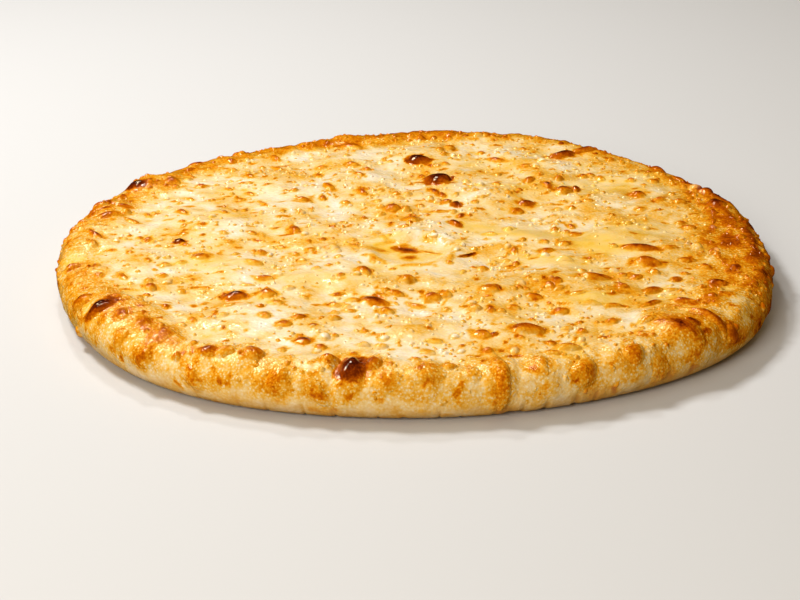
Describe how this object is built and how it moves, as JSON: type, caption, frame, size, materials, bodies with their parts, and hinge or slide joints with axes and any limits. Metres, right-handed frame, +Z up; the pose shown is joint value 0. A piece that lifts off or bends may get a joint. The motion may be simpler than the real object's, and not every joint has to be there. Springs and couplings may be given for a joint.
{
  "type": "cabbage pie",
  "caption": "Round flat pie with a filled middle, a rounded puffed rim, a shallow vent in its middle and a blistered top, baked whole.",
  "frame": {"origin": "on the surface it stands on, under the middle of its outline's box", "axes": "+Z up through the thickness, +Y to the back of the pie as it is seen, +X to its right"},
  "size_m": [0.3382, 0.3406, 0.0255],
  "materials": {
    "baked_dough": "baked dough, brushed with butter"
  },
  "bodies": {
    "root": {"cabbage_pie": "baked_dough"}
  },
  "joints": []
}
